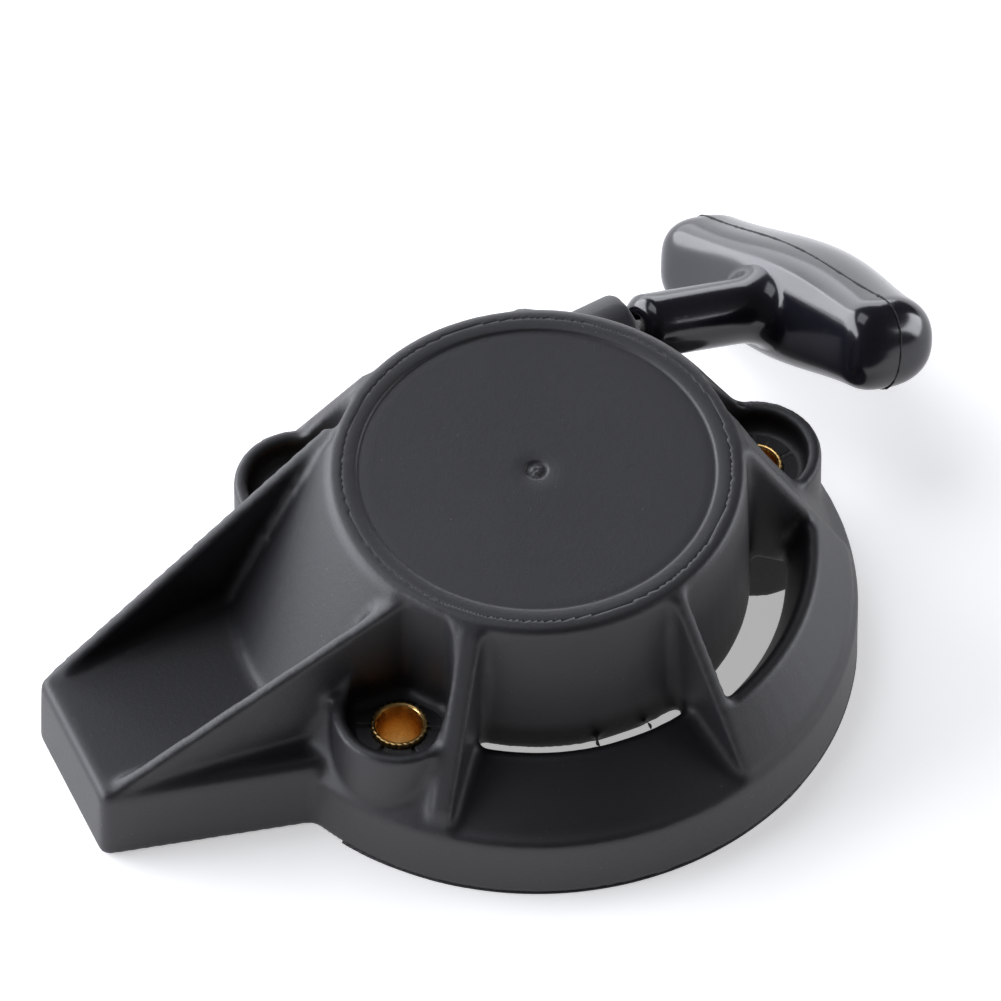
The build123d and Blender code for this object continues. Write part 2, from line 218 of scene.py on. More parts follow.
# ---------------------------------------------------------------- finishes

@dataclass(frozen=True)
class MattMoulding:
    """Black moulded plastic with a fine grain, pale specks and scuffed edges."""

    name: str = "matt_moulding"
    tone: float = 0.011
    tint: float = 1.12
    roughness: float = 0.48
    grain: float = 2600.0
    grain_depth: float = 0.00009
    specks: float = 0.5
    scuffs: float = 1.0
    round_edge: float = 0.0006

    def material(self) -> bpy.types.Material:
        """Returns the finish."""
        bench = Bench(self.name)
        cloud = bench.noise(28.0, 4.0, 0.55)
        fine = bench.noise(self.grain, 3.0, 0.6)
        scuff = bench.edge() * bench.noise(420.0, 3.0, 0.7).ramp(0.42, 0.66) * self.scuffs
        speck_field = bench.cells(520.0)
        gate = bench.noise(90.0, 2.0).ramp(0.5, 0.72)
        speck = (1 - speck_field.ramp(0.06, 0.11)) * gate * self.specks
        dark = colour(self.tone * 0.82, self.tone * 0.83, self.tone * 0.86 * self.tint)
        light = colour(self.tone * 1.2, self.tone * 1.22, self.tone * 1.3 * self.tint)
        base = bench.blend(cloud, dark, light)
        base = bench.blend(scuff * 0.55, base, colour(0.16, 0.16, 0.165))
        base = bench.blend(speck * 0.5, base, colour(0.22, 0.22, 0.22))
        rounded = bench.node("ShaderNodeBevel", {"samples": 6}, {"Radius": self.round_edge}).outputs[0]
        height = fine * 0.7 + bench.noise(self.grain * 0.35, 2.0) * 0.5 + speck * 0.8
        normal = bench.bump(height, self.grain_depth, 0.6, rounded)
        rough = self.roughness + (cloud - 0.5) * 0.12 + (fine - 0.5) * 0.14 - scuff * 0.08
        return bench.finish(Base_Color=base, Roughness=rough, Normal=normal, IOR=1.5)


@dataclass(frozen=True)
class GlossMoulding:
    """Polished black moulded plastic with faint flow waves and hairline rubs."""

    name: str = "gloss_moulding"

    def material(self) -> bpy.types.Material:
        """Returns the finish."""
        bench = Bench(self.name)
        cloud = bench.noise(45.0, 3.0, 0.5)
        rub = bench.noise(900.0, 2.0, 0.7).ramp(0.58, 0.75)
        base = bench.blend(cloud, colour(0.006, 0.0062, 0.009), colour(0.011, 0.0112, 0.016))
        wave = bench.noise(70.0, 1.0, 0.4)
        pits = 1 - bench.cells(420.0).ramp(0.03, 0.07)
        normal = bench.bump(wave * 1.0 - pits * 0.12, 0.00035, 0.35)
        rough = 0.13 + cloud * 0.07 + rub * 0.10
        return bench.finish(Base_Color=base, Roughness=rough, Normal=normal, IOR=1.53)


@dataclass(frozen=True)
class Metal:
    """Metal with fine machining marks and a little grime."""

    name: str
    light: tuple[float, float, float]
    dark: tuple[float, float, float]
    roughness: float = 0.28
    lines: float = 900.0
    rounded: float = 0.00025

    def material(self) -> bpy.types.Material:
        """Returns the finish."""
        bench = Bench(self.name)
        place = bench.place()
        squeeze = {"Vector": place, "Scale": (1.0, 1.0, 9.0)}
        stretched = bench.node("ShaderNodeMapping", None, squeeze).outputs[0]
        marks = bench.noise(self.lines, 2.0, 0.6, stretched)
        grime = bench.noise(160.0, 4.0, 0.6).ramp(0.35, 0.75)
        base = bench.blend(grime * 0.6, colour(*self.light), colour(*self.dark))
        rough = self.roughness + (marks - 0.5) * 0.22 + grime * 0.14
        edge = bench.node("ShaderNodeBevel", {"samples": 4}, {"Radius": self.rounded}).outputs[0]
        normal = bench.bump(marks, 0.00003, 0.5, edge)
        return bench.finish(Base_Color=base, Metallic=1.0, Roughness=rough, Normal=normal)


@dataclass(frozen=True)
class Nylon:
    """Plain engineering plastic with a satin, slightly mottled surface."""

    name: str
    light: tuple[float, float, float]
    dark: tuple[float, float, float]
    roughness: float = 0.42

    def material(self) -> bpy.types.Material:
        """Returns the finish."""
        bench = Bench(self.name)
        mottle = bench.noise(120.0, 4.0, 0.6)
        fine = bench.noise(1800.0, 2.0, 0.6)
        base = bench.blend(mottle, colour(*self.light), colour(*self.dark))
        edge = bench.node("ShaderNodeBevel", {"samples": 4}, {"Radius": 0.0003}).outputs[0]
        normal = bench.bump(fine, 0.00005, 0.5, edge)
        rough = self.roughness + (mottle - 0.5) * 0.12
        return bench.finish(Base_Color=base, Roughness=rough, Normal=normal)


@dataclass(frozen=True)
class BraidedRope:
    """Pale braided cord with a crossing strand pattern and a few grey flecks."""

    name: str = "braided_rope"

    def material(self) -> bpy.types.Material:
        """Returns the finish."""
        bench = Bench(self.name)
        fibres = bench.noise(2400.0, 3.0, 0.65)
        fleck = bench.noise(300.0, 2.0).ramp(0.56, 0.7)
        base = bench.blend(fibres, colour(0.36, 0.35, 0.33), colour(0.56, 0.55, 0.52))
        base = bench.blend(fleck * 0.6, base, colour(0.20, 0.20, 0.22))
        normal = bench.bump(fibres, 0.0002, 0.8)
        return bench.finish(Base_Color=base, Roughness=0.85, Normal=normal)


# ---------------------------------------------------------------- mesh making

def new_piece(name: str, points: Sequence[Vector], faces: Sequence[Sequence[int]],
              smooth: bool = True) -> bpy.types.Object:
    """Makes a mesh object in the scene from points in metres."""
    mesh = bpy.data.meshes.new(name)
    mesh.from_pydata([tuple(p) for p in points], [], [tuple(f) for f in faces])
    mesh.validate()
    if smooth:
        mesh.shade_smooth()
    piece = bpy.data.objects.new(name, mesh)
    bpy.context.scene.collection.objects.link(piece)
    return piece


def skin(name: str, rings: Sequence[Ring], joined: bool = False) -> bpy.types.Object:
    """Joins rings of equal length into one closed surface.

    Args:
        name: the piece's name.
        rings: closed rings of points, in order.
        joined: whether the last ring joins the first; otherwise a face closes each end.

    Returns:
        The piece.
    """
    count = len(rings[0])
    points = [p for ring in rings for p in ring]
    faces = []
    spans = len(rings) if joined else len(rings) - 1
    for i in range(spans):
        low, high = i * count, (i + 1) % len(rings) * count
        for j in range(count):
            k = (j + 1) % count
            faces.append((low + j, low + k, high + k, high + j))
    if not joined:
        faces.append(tuple(reversed(range(count))))
        faces.append(tuple(range((len(rings) - 1) * count, len(rings) * count)))
    return new_piece(name, points, faces)


def lathe(name: str, outline: Sequence[tuple[float, float]], steps: int,
          wobble: Callable[[int, float], float] | None = None) -> bpy.types.Object:
    """Turns a closed (radius, height) outline in millimetres about Z.

    Args:
        name: the piece's name.
        outline: the closed outline.
        steps: how many places round the turn.
        wobble: how far each outline point moves out at an angle, in millimetres.

    Returns:
        The piece.
    """
    rings = []
    for i in range(steps):
        angle = TAU * i / steps
        ring = []
        for j, (radius, height) in enumerate(outline):
            reach = (radius + (wobble(j, angle) if wobble else 0.0)) * MM
            ring.append(Vector((reach * math.cos(angle), reach * math.sin(angle), height * MM)))
        rings.append(ring)
    return skin(name, rings, joined=True)


def tube(name: str, path: Sequence[Vector], radius: Callable[[float, float], float],
         sides: int) -> bpy.types.Object:
    """A tube along points, whose radius in metres depends on the angle and on the length run."""
    rings = []
    run = 0.0
    along = (path[1] - path[0]).normalized()
    out = along.orthogonal().normalized()
    for i, point in enumerate(path):
        if i:
            run += (point - path[i - 1]).length
        ahead = (path[min(i + 1, len(path) - 1)] - path[max(i - 1, 0)]).normalized()
        out = (out - ahead * out.dot(ahead)).normalized()
        side = ahead.cross(out)
        ring = []
        for j in range(sides):
            turn = TAU * j / sides
            ring.append(point + (out * math.cos(turn) + side * math.sin(turn)) * radius(turn, run))
        rings.append(ring)
    return skin(name, rings)


def braid(radius: float, strands: int = 8, lay: float = 0.009,
          depth: float = 0.09) -> Callable[[float, float], float]:
    """The radius of a braided cord: two sets of strands wound opposite ways."""
    def at(turn: float, run: float) -> float:
        """The radius at an angle and a length run."""
        phase = TAU * run / lay
        first = math.cos(strands / 2 * turn + strands / 2 * phase)
        second = math.cos(strands / 2 * turn - strands / 2 * phase)
        return radius * (1 - depth + depth * max(first, second))
    return at


def cut(piece: bpy.types.Object, cutter: bpy.types.Object, operation: str = "DIFFERENCE") -> None:
    """Cuts or joins a piece with another mesh and throws the other away."""
    modifier = piece.modifiers.new("cut", "BOOLEAN")
    modifier.operation = operation
    modifier.solver = "EXACT"
    modifier.object = cutter
    applied(piece)
    bpy.data.objects.remove(cutter)


def applied(piece: bpy.types.Object) -> None:
    """Makes a piece's modifiers part of its mesh."""
    view = bpy.context.evaluated_depsgraph_get()
    mesh = bpy.data.meshes.new_from_object(piece.evaluated_get(view))
    piece.modifiers.clear()
    piece.data = mesh


def dress(piece: bpy.types.Object, material: bpy.types.Material) -> None:
    """Gives a piece one material."""
    piece.data.materials.clear()
    piece.data.materials.append(material)


def mount(piece: bpy.types.Object, body: Body, material: bpy.types.Material, slot: str, *nodes: str) -> None:
    """Dresses a new piece, lets it ride on a body and hides the nodes that it stands for."""
    dress(piece, material)
    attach(piece, body.value)
    if nodes:
        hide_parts(*nodes)
    log.info("piece %s: %d faces on %s", piece.name, len(piece.data.polygons), body.value)


def soft_edges(node: bpy.types.Object, width: float, angle: float = 32.0, segments: int = 2) -> None:
    """Rounds a carried-over piece's sharp edges with a bevel that hardens their normals."""
    bevel = node.modifiers.new("rounding", "BEVEL")
    bevel.width = width
    bevel.segments = segments
    bevel.limit_method = "ANGLE"
    bevel.angle_limit = math.radians(angle)
    bevel.harden_normals = True


# ---------------------------------------------------------------- sub-assemblies

def away(angle: float, radius: float = 1.0, height: float = 0.0) -> Vector:
    """A point in millimetres at an angle in degrees and a radius, as metres."""
    turn = math.radians(angle)
    return Vector((radius * math.cos(turn), radius * math.sin(turn), height)) * MM


@dataclass
class Studio:
    """A pale floor, soft lights and the camera."""

    azimuth: float = 23.0
    elevation: float = 51.0
    distance: float = 4.0
    view_width: float = 0.2002
    target: Vector = field(default_factory=lambda: Vector((-0.001, 0.016, 0.027)))
    floor_reach: float = 4.0
    floor_drop: float = 0.0002
    floor_glow: float = 0.42
    sky_strength: float = 0.07
    cool: tuple[float, float, float] = (0.92, 0.94, 1.0)

    def floor(self) -> None:
        """Lays the floor that the object rests on."""
        reach = self.floor_reach
        signs = ((-1, -1), (1, -1), (1, 1), (-1, 1))
        corners = [Vector((x * reach, y * reach, -self.floor_drop)) for x, y in signs]
        floor = new_piece("floor", corners, [(0, 1, 2, 3)], smooth=False)
        bench = Bench("floor_paper")
        tone = bench.noise(6.0, 2.0)
        base = bench.blend(tone, colour(0.90, 0.90, 0.905), colour(0.94, 0.94, 0.94))
        paper = bench.finish(Base_Color=base, Roughness=0.9, Emission_Color=colour(1.0, 1.0, 1.0),
                             Emission_Strength=self.floor_glow)
        dress(floor, paper)

    def light(self, name: str, place: tuple, aim: tuple, size: tuple, watts: float) -> None:
        """Hangs a rectangular soft light aimed at a point."""
        lamp = bpy.data.lights.new(name, "AREA")
        lamp.shape = "RECTANGLE"
        lamp.size, lamp.size_y = size
        lamp.energy = watts
        lamp.color = self.cool
        holder = bpy.data.objects.new(name, lamp)
        holder.location = place
        holder.rotation_euler = (Vector(aim) - Vector(place)).to_track_quat("-Z", "Y").to_euler()
        holder.visible_camera = False
        bpy.context.scene.collection.objects.link(holder)

    def sky(self) -> None:
        """Fills the room with an even white."""
        world = bpy.data.worlds.new("room")
        world.use_nodes = True
        world.node_tree.nodes["Background"].inputs["Color"].default_value = (1.0, 1.0, 1.0, 1.0)
        world.node_tree.nodes["Background"].inputs["Strength"].default_value = self.sky_strength
        bpy.context.scene.world = world

    def camera(self) -> None:
        """Sets the camera."""
        turn, tilt = math.radians(self.azimuth), math.radians(self.elevation)
        forward = Vector((math.cos(tilt) * math.sin(turn), math.cos(tilt) * math.cos(turn), -math.sin(tilt)))
        data = bpy.data.cameras.new("camera")
        data.lens = data.sensor_width * self.distance / self.view_width
        data.clip_end = 20.0
        holder = bpy.data.objects.new("camera", data)
        holder.location = self.target - forward * self.distance
        holder.rotation_euler = forward.to_track_quat("-Z", "Y").to_euler()
        bpy.context.scene.collection.objects.link(holder)
        bpy.context.scene.camera = holder

    def set_up(self) -> None:
        """Builds the whole studio."""
        self.floor()
        self.sky()
        self.light("overhead", (-0.30, 0.55, 1.4), (0, 0, 0.03), (0.9, 0.9), 7.0)
        self.light("left_panel", (-1.55, 1.0, 0.65), (-0.03, 0, 0.03), (3.0, 1.3), 92.0)
        self.light("back_panel", (0.4, 2.0, 0.55), (0.03, 0.03, 0.03), (2.4, 1.0), 30.0)
        self.light("right_panel", (1.8, -0.3, 0.4), (0.03, 0, 0.03), (1.4, 0.7), 24.0)
        self.camera()
        bpy.context.scene.view_settings.view_transform = "Standard"
        log.info("studio ready")


@dataclass
class HousingShell:
    """The moulded housing: softened walls, a turned crown with its gate mark, and flash along the rim."""

    voxel: float = 0.00055
    rounds: int = 7
    fillet: float = 1.3
    disc_radius: float = 38.8
    label_radius: float = 35.8
    label_depth: float = 0.4
    crown_depth: float = 1.3
    sink: float = 0.7
    rim_radius: float = 64.35
    steps: int = 256
    well_bore: float = 5.72
    well_radius: float = 10.9
    well_height: float = 25.12
    groove_half: float = 0.34
    groove_depth: float = 0.8
    grooves: int = 6
    floor_thickness: float = 1.2
    flash_start: float = -150
    flash_sweep: float = 262

    def grow(self, piece: bpy.types.Object, reach: float) -> None:
        """Moves the whole skin out by a reach in metres, or in where it is negative, and skins it again."""
        shift = piece.modifiers.new("grow", "DISPLACE")
        shift.strength = reach
        shift.mid_level = 0.0
        remesh = piece.modifiers.new("skin", "REMESH")
        remesh.mode = "VOXEL"
        remesh.voxel_size = self.voxel
        applied(piece)

    def walls(self) -> bpy.types.Object:
        """The walls, with fillets in the corners and every edge softened as a mould leaves it."""
        piece = bpy.data.objects.new("housing_shell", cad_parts["housing"].data.copy())
        bpy.context.scene.collection.objects.link(piece)
        weld = piece.modifiers.new("weld", "WELD")
        weld.merge_threshold = WELD_GAP
        self.grow(piece, 0.0)
        self.grow(piece, self.fillet * MM)
        self.grow(piece, -self.fillet * MM)
        soften = piece.modifiers.new("soften", "SMOOTH")
        soften.factor = 0.5
        soften.iterations = self.rounds
        applied(piece)
        low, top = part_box("housing")[0].z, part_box("housing")[1].z
        for vertex in piece.data.vertices:
            vertex.co.z = max(vertex.co.z, low)
            inner = math.hypot(vertex.co.x, vertex.co.y) < (self.disc_radius - 0.3) * MM
            if vertex.co.z > top - self.crown_depth * MM and inner:
                vertex.co.z -= self.sink * MM
        piece.data.shade_smooth()
        return piece

    def crown(self) -> bpy.types.Object:
        """The closed top: rounded edge, shallow sunk disc and the gate mark at its centre."""
        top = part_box("housing")[1].z / MM
        sunk = top - self.label_depth
        outline = [(0.02, sunk + 0.02), (0.55, sunk + 0.04), (0.85, sunk - 0.02), (1.05, sunk - 0.32),
                   (1.9, sunk - 0.36), (2.25, sunk - 0.3), (2.4, sunk - 0.05), (2.6, sunk)]
        outline += [(r, sunk) for r in (6.0, 14.0, 24.0, 33.0, self.label_radius - 0.5)]
        outline += [(self.label_radius - 0.22, sunk - 0.05), (self.label_radius - 0.05, sunk + 0.1),
                    (self.label_radius + 0.08, top - 0.12), (self.label_radius + 0.35, top)]
        outline += [(self.disc_radius - 0.6, top - 0.01), (self.disc_radius, top - 0.06),
                    (self.disc_radius + 0.9, top - 0.9), (self.disc_radius - 1.0, top - 2.0), (0.02, top - 2.0)]

        def nub(index: int, angle: float) -> float:
            """The torn gate is not round."""
            return 0.14 * math.sin(3 * angle + 0.6) + 0.08 * math.sin(7 * angle) if 1 <= index <= 3 else 0.0
        return lathe("housing_crown", outline, self.steps, nub)

    def well_floor(self, name: str, angle: float) -> bpy.types.Object:
        """The floor of one screw well, with its radial grooves."""
        rings = []
        count = 720
        for i in range(count):
            turn = TAU * i / count
            off = (turn + TAU / (2 * self.grooves)) % (TAU / self.grooves) - TAU / (2 * self.grooves)
            ring = []
            for radius in (self.well_bore, self.well_bore + 0.5, self.well_radius - 0.6, self.well_radius):
                across = abs(off) * radius
                depth = self.groove_depth * max(0.0, 1 - (across / self.groove_half) ** 4)
                height = self.well_height - depth
                ring.append(Vector((radius * math.cos(turn), radius * math.sin(turn), height)) * MM)
            for radius in (self.well_radius, self.well_bore):
                height = self.well_height - self.floor_thickness
                ring.append(Vector((radius * math.cos(turn), radius * math.sin(turn), height)) * MM)
            rings.append(ring)
        floor = skin(f"well_floor_{name}", rings, joined=True)
        turned = Matrix.Rotation(math.radians(angle), 4, "Z")
        floor.data.transform(Matrix.Translation(away(angle, WELL_CIRCLE)) @ turned)
        floor.data.set_sharp_from_angle(angle=math.radians(35))
        return floor

    def flash(self) -> bpy.types.Object:
        """A ragged fin of moulding flash along the foot of the skirt."""
        rings = []
        count = 1500
        for i in range(count):
            angle = self.flash_start + self.flash_sweep * i / count
            at = away(angle, self.rim_radius)
            coarse = noise.noise(at * 60)
            fine = noise.noise(at * 1400 + Vector((3, 1, 7)))
            reach = 0.05 + max(0.0, coarse + 0.08) * (0.35 + 0.75 * abs(fine))
            drop = 0.28 + 0.15 * fine
            rings.append([away(angle, self.rim_radius - 0.7, 0.02), away(angle, self.rim_radius + reach, 0.03),
                          away(angle, self.rim_radius + reach * 0.9, 0.05 + 0.12 * abs(fine)),
                          away(angle, self.rim_radius - 0.7, drop + 0.4)])
        return skin("housing_flash", rings)

    def build(self) -> None:
        """Makes the housing and dresses it."""
        finish = MattMoulding().material()
        mount(self.walls(), Body.HOUSING, finish, "housing_plastic", "housing")
        calm = MattMoulding("crown_moulding", scuffs=0.1).material()
        mount(self.crown(), Body.HOUSING, calm, "housing_plastic")
        mount(self.flash(), Body.HOUSING, finish, "housing_plastic")
        for name, angle in WELL_ANGLES.items():
            mount(self.well_floor(name, angle), Body.HOUSING, finish, "housing_plastic")


@dataclass
class MountBushes:
    """The three brass bushes that the mounting screws pass through."""

    outer: float = 5.7
    bore: float = 4.6
    foot: float = 0.6
    floor: float = 25.0
    top: float = 26.3
    teeth: int = 26
    bite: float = 0.24

    def outline(self) -> list[tuple[float, float]]:
        """The turned section: chamfered bore, plain body and a collar for the knurl."""
        bore, outer, top, foot = self.bore, self.outer, self.top, self.foot
        return [(bore, foot + 0.3), (bore, top - 0.45), (bore + 0.12, top - 0.25), (bore + 0.4, top - 0.04),
                (bore + 0.55, top), (outer - 0.3, top), (outer - 0.08, top - 0.08), (outer, top - 0.3),
                (outer, self.floor + 0.1), (outer - 0.12, self.floor), (outer - 0.12, foot + 0.3),
                (outer - 0.4, foot), (bore + 0.3, foot)]

    def knurl(self, index: int, angle: float) -> float:
        """How far the knurl moves the collar's rim in."""
        if index not in (5, 6, 7, 8):
            return 0.0
        return -self.bite * (0.5 - 0.5 * math.cos(self.teeth * angle)) ** 1.6 * (0.6 if index == 5 else 1.0)

    def build(self) -> None:
        """Makes one bush in each ear."""
        brass = Metal("turned_brass", (0.83, 0.55, 0.22), (0.50, 0.30, 0.10), 0.24, 1500.0).material()
        for name, angle in WELL_ANGLES.items():
            bush = lathe(f"brass_bush_{name}", self.outline(), self.teeth * 10, self.knurl)
            bush.data.transform(Matrix.Translation(away(angle, WELL_CIRCLE)))
            bush.data.set_sharp_from_angle(angle=math.radians(50))
            mount(bush, Body.HOUSING, brass, "bush_brass", f"bush_{name}")


@dataclass
class GripAssembly:
    """The pull handle: stem, rounded bar with its parting flash, knot washer and knot."""

    turn: float = 6.4
    droop: float = 20.0
    roll: float = 26.6
    pivot: Vector = field(default_factory=lambda: Vector((37.437, 39.063, 37.0)))
    tip_gap: float = 0.8
    stem_radius: float = 6.6
    stem_length: float = 29.5
    front_depth: float = 9.5
    back_depth: float = 11.3
    back_bulge: float = 6.1
    half: float = 37.2
    half_height: float = 9.5
    belly: float = 2.1
    corner: float = 8.0
    squareness: float = 3.0
    bore: float = 1.9
    recess: float = 7.0
    recess_floor: float = 8.0

    @property
    def seam(self) -> float:
        """How far along the stem the parting plane lies."""
        return self.tip_gap + self.stem_length + self.front_depth

    def place(self) -> Matrix:
        """From the handle's own axes, Z along the stem and Y along the bar, to the object's."""
        turn, droop, roll = (math.radians(a) for a in (self.turn, self.droop, self.roll))
        ahead = Vector((math.cos(turn), math.sin(turn), 0))
        along = ahead * math.cos(droop) - Vector((0, 0, 1)) * math.sin(droop)
        up = ahead * math.sin(droop) + Vector((0, 0, 1)) * math.cos(droop)
        across = along.cross(up)
        x_axis = up * math.cos(roll) - across * math.sin(roll)
        y_axis = along.cross(x_axis)
        turned = Matrix((x_axis, y_axis, along)).transposed().to_4x4()
        return Matrix.Translation(self.pivot * MM) @ turned @ Matrix.Scale(MM, 4)

    def shrink(self, y: float) -> float:
        """How much narrower the bar is at a place along it, from 1 to 0 at its ends."""
        past = max(0.0, abs(y) - (self.half - self.corner)) / self.corner
        return max(0.0, 1 - min(1.0, past) ** 2.3) ** (1 / 2.3)

    def width(self, y: float) -> float:
        """Half the bar's height at a place along it, before its ends round off."""
        share = min(1.0, abs(y) / (self.half - self.corner + 2))
        return self.half_height + self.belly * (0.5 + 0.5 * math.cos(math.pi * share))

    def depths(self, y: float) -> tuple[float, float]:
        """How deep the bar is in front of and behind its parting plane."""
        share = min(1.0, abs(y) / 36)
        bulge = self.back_bulge * (1 - share * share * (3 - 2 * share))
        dip = 0.8 * math.sin(math.pi * share) ** 2
        return self.front_depth - dip * 0.5, self.back_depth + bulge

    def front_at(self, x: float, y: float) -> float:
        """The height of the bar's front face over a point of the parting plane."""
        shrink = self.shrink(y)
        share = min(1.0, abs(x) / (self.width(y) * shrink))
        rounding = (1 - share ** self.squareness) ** (1 / self.squareness)
        return self.seam - self.depths(y)[0] * shrink ** 0.7 * rounding

    def bar(self) -> bpy.types.Object:
        """The rounded bar."""
        flat = self.half - self.corner
        places = [-flat + 2 * flat * i / 40 for i in range(41)]
        tips = [flat + self.corner * math.sin(math.radians(90 * i / 14)) for i in range(1, 14)]
        tips.append(self.half - 0.004)
        places = [-t for t in reversed(tips)] + places + tips
        rings = []
        for y in places:
            front, back = self.depths(y)
            shrink = max(self.shrink(y), 0.03)
            ring = []
            for j in range(72):
                turn = TAU * j / 72
                across, deep = math.cos(turn), math.sin(turn)
                power = 2 / self.squareness if deep < 0 else 2 / 2.35
                x = self.width(y) * shrink * math.copysign(abs(across) ** power, across)
                depth = (front if deep < 0 else back) * shrink ** 0.7
                ring.append(Vector((x, y, self.seam + depth * math.copysign(abs(deep) ** power, deep))))
            rings.append(ring)
        return skin("pull_handle", rings)

    def stem(self) -> bpy.types.Object:
        """The stem, with a bevelled tip and a fillet that runs out on the bar."""
        rings = []
        for j in range(72):
            turn = TAU * j / 72
            cosine, sine = math.cos(turn), math.sin(turn)
            reach = 2.9 + 2.4 * sine * sine
            root = self.front_at(self.stem_radius * cosine, self.stem_radius * sine)
            end_r = self.stem_radius + reach
            end = self.front_at(end_r * cosine, end_r * sine)
            outline = [(2.6, self.tip_gap + 0.5), (3.2, self.tip_gap + 0.1), (4.0, self.tip_gap),
                       (4.7, self.tip_gap + 0.15), (6.15, self.tip_gap + 1.6), (6.5, self.tip_gap + 2.1),
                       (self.stem_radius, self.tip_gap + 2.8), (self.stem_radius, self.tip_gap + 6),
                       (self.stem_radius + 0.02, self.tip_gap + 12), (self.stem_radius + 0.05, root - 7.5)]
            start = Vector((self.stem_radius + 0.06, root - 6.0))
            knee = Vector((self.stem_radius + 0.06, root - 0.2))
            finish = Vector((end_r, end + 0.12))
            for i in range(10):
                t = i / 9
                at = start * (1 - t) ** 2 + knee * 2 * t * (1 - t) + finish * t * t
                outline.append((at.x, at.y))
            outline += [(end_r - 1.5, self.seam - 1), (2.6, self.seam - 1)]
            rings.append([Vector((r * cosine, r * sine, z)) for r, z in outline])
        return skin("stem", rings, joined=True)

    def hollow(self) -> bpy.types.Object:
        """What the rope's bore and the knot's recess take out."""
        floor = self.seam + self.recess_floor
        back = self.seam + self.back_depth + self.back_bulge
        outline = [(0.05, -2), (self.bore, -2), (self.bore, floor), (self.recess - 0.3, floor),
                   (self.recess, floor + 0.4), (self.recess, back - 0.9), (self.recess + 0.9, back + 0.1),
                   (self.recess + 1.2, back + 6), (0.05, back + 6)]
        cutter = lathe("hollow", outline, 72)
        cutter.data.transform(Matrix.Scale(1 / MM, 4))
        return cutter

    def seam_line(self) -> list[Vector]:
        """The bar's outline in its parting plane."""
        flat = self.half - self.corner
        places = [flat * i / 150 for i in range(-150, 150)]
        tips = [flat + self.corner * math.sin(math.radians(90 * i / 90)) for i in range(90)]
        lower = [-t for t in tips[1:]]

        def edge(y: float, side: int) -> Vector:
            """The outline's point on one side at a place along the bar."""
            return Vector((side * self.width(y) * self.shrink(y), y, 0))

        near = [edge(y, 1) for y in places + tips]
        top = near + [Vector((0, self.half, 0))] + [Vector((-p.x, p.y, 0)) for p in reversed(near)]
        left = [edge(y, -1) for y in lower]
        right = [edge(y, 1) for y in reversed(lower)]
        return top + left + [Vector((0, -self.half, 0))] + right

    def seam_flash(self) -> bpy.types.Object:
        """The torn fin left where the halves of the mould met."""
        line = self.seam_line()
        rings = []
        for i, point in enumerate(line):
            along = line[(i + 1) % len(line)] - line[i - 1]
            out = Vector((along.y, -along.x, 0)).normalized()
            at = point + Vector((0, 0, self.seam))
            torn = noise.noise(point * 1.1)
            step = noise.noise(point * 0.3 + Vector((0, 0, 5)))
            reach = 0.10 + 0.14 * max(0.0, step + 0.3) + 0.22 * max(0.0, torn)
            below = 0.07 + 0.24 * abs(noise.noise(point * 0.9 + Vector((7, 2, 1))))
            above = 0.08 + 0.20 * abs(noise.noise(point * 1.7 + Vector((2, 9, 4))))
            rings.append([at - out * 0.6 + Vector((0, 0, -0.3)), at + out * reach + Vector((0, 0, -below)),
                          at + out * reach * 0.9 + Vector((0, 0, above)), at - out * 0.6 + Vector((0, 0, 0.3))])
        return skin("handle_seam_flash", rings, joined=True)

    def washer(self) -> bpy.types.Object:
        """The domed washer under the knot."""
        floor = self.seam + self.recess_floor
        outline = [(1.8, floor + 0.2), (2.0, floor), (6.3, floor), (6.6, floor + 0.25), (6.5, floor + 0.75),
                   (5.4, floor + 1.0), (3.0, floor + 1.2), (2.0, floor + 1.2), (1.8, floor + 1.0)]
        return lathe("knot_washer_plate", outline, 64)

    def build(self) -> None:
        """Makes the handle and what it holds."""
        place = self.place()
        gloss = GlossMoulding().material()
        grip = self.bar()
        cut(grip, self.stem(), "UNION")
        cut(grip, self.hollow())
        grip.data.transform(place)
        grip.data.shade_smooth()
        grip.data.set_sharp_from_angle(angle=math.radians(40))
        mount(grip, Body.HANDLE, gloss, "handle_plastic", "handle_grip")
        flash = self.seam_flash()
        flash.data.transform(place)
        # The fin is real moulding flash. Its colour, darker than the bar's, is painted shade along the parting
        # line.
        torn = MattMoulding("torn_seam_painted_shade", tone=0.003, roughness=0.6, specks=0.0, scuffs=0.0).material()
        mount(flash, Body.HANDLE, torn, "handle_plastic")
        washer = self.washer()
        washer.data.transform(Matrix.Scale(1 / MM, 4))
        washer.data.transform(place)
        washer.data.set_sharp_from_angle(angle=math.radians(35))
        steel = Metal("plated_washer", (0.62, 0.61, 0.58), (0.38, 0.37, 0.35), 0.3).material()
        mount(washer, Body.HANDLE, steel, "case_steel", "knot_washer")


